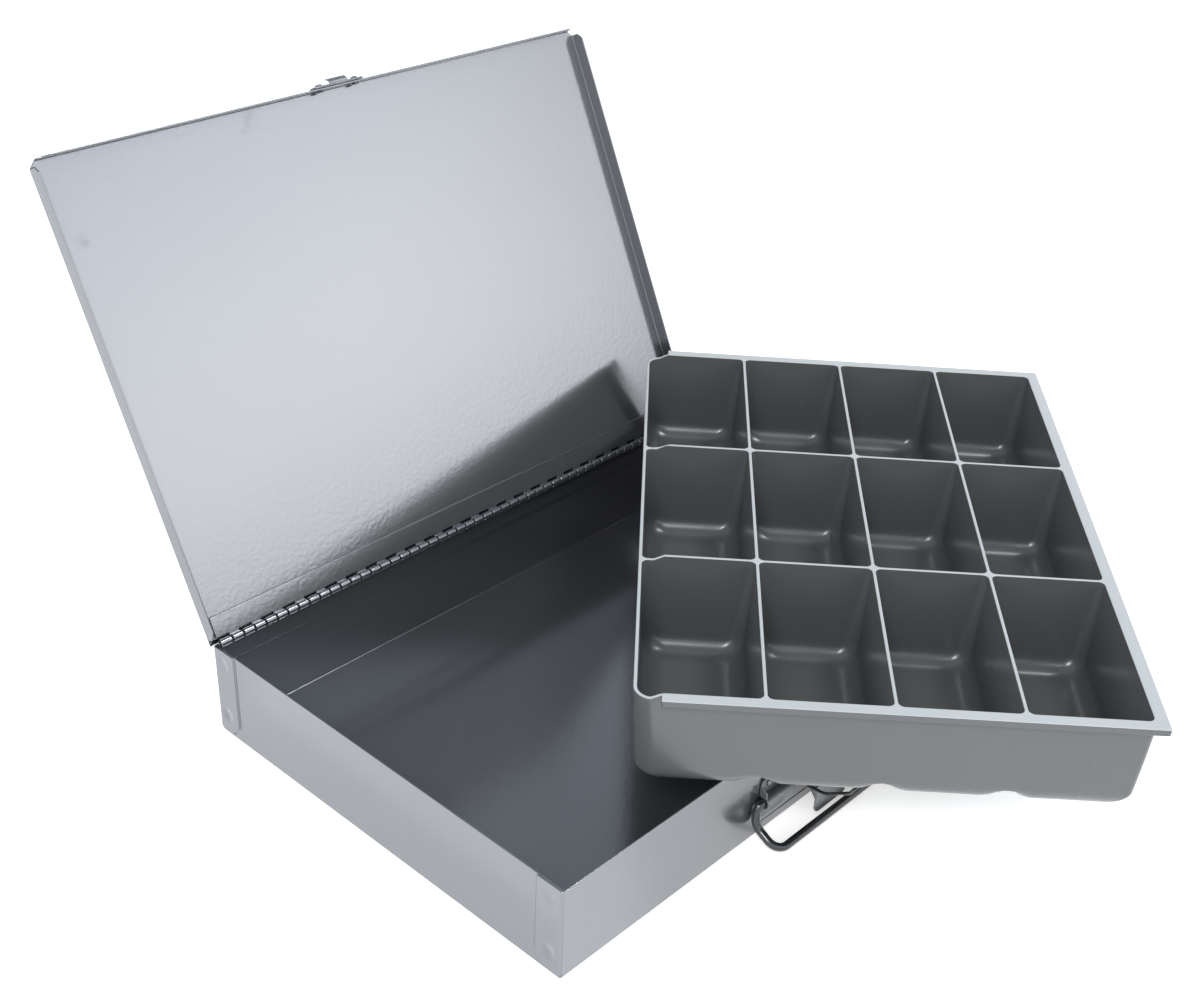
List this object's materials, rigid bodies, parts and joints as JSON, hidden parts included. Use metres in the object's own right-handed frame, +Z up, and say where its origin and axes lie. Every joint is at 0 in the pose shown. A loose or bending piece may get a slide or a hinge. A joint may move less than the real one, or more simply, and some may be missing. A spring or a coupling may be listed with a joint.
{
  "type": "tool box",
  "caption": "Low folded-steel tool box with a piano-hinged lid, wire bail handle, draw latch and a lift-out divided plastic tray laid across the open body.",
  "frame": {"origin": "centre of the flat bottom of the box body, on the surface it stands on", "axes": "+X to the right along the front that carries the handle and latch, +Y back towards the hinge, +Z up"},
  "size_m": [0.4665, 0.4873, 0.2658],
  "materials": {
    "painted_steel": "semi-gloss grey enamel with a fine orange peel",
    "plated_steel": "dull zinc-grey stamped steel",
    "black_wire": "gloss black lacquer over bent wire",
    "tray_plastic": "semi-gloss grey injection-moulded plastic"
  },
  "bodies": {
    "box": {"box_shell": "painted_steel", "box_hinge_leaf": "painted_steel", "hinge_pin": "plated_steel", "handle_bracket_left": "plated_steel", "handle_bracket_right": "plated_steel", "handle_rivet_left_inner": "plated_steel", "handle_rivet_left_outer": "plated_steel", "handle_rivet_right_inner": "plated_steel", "handle_rivet_right_outer": "plated_steel", "latch_base": "plated_steel", "latch_pin": "plated_steel", "latch_rivet_left": "plated_steel", "latch_rivet_right": "plated_steel"},
    "lid": {"lid_panel": "painted_steel", "lid_hinge_leaf": "painted_steel", "lid_catch": "plated_steel", "catch_rivet_left": "plated_steel", "catch_rivet_right": "plated_steel"},
    "handle": {"handle_bail": "black_wire"},
    "lever": {"latch_lever": "plated_steel"},
    "loop": {"latch_loop": "black_wire"},
    "tray": {"tray": "tray_plastic"}
  },
  "joints": [
    {"name": "lid_hinge", "type": "hinge", "parent": "box", "child": "lid", "pos_m": [0, 0.1143, 0.0523], "axis": [1, 0, 0], "range_deg": [0, 116.5]},
    {"name": "tray_lift_off", "type": "slide", "parent": "box", "child": "tray", "axis": [0, -1, 0], "range_m": [0, 0.31]},
    {"name": "handle_swing", "type": "hinge", "parent": "box", "child": "handle", "pos_m": [0, -0.12, 0.0218], "axis": [-1, 0, 0], "range_deg": [0, 55]},
    {"name": "latch_lever_hinge", "type": "hinge", "parent": "box", "child": "lever", "pos_m": [0, -0.1245, 0.025], "axis": [-1, 0, 0], "range_deg": [0, 110]},
    {"name": "latch_loop_hinge", "type": "hinge", "parent": "lever", "child": "loop", "pos_m": [0, -0.127, 0.0213], "axis": [-1, 0, 0], "range_deg": [-110.5, 0]}
  ],
  "couplings": [
    {"joint": "tray_lift_off", "follows": "lid_hinge", "m_per_rad": 0.15},
    {"joint": "latch_loop_hinge", "follows": "latch_lever_hinge", "ratio": -1}
  ]
}
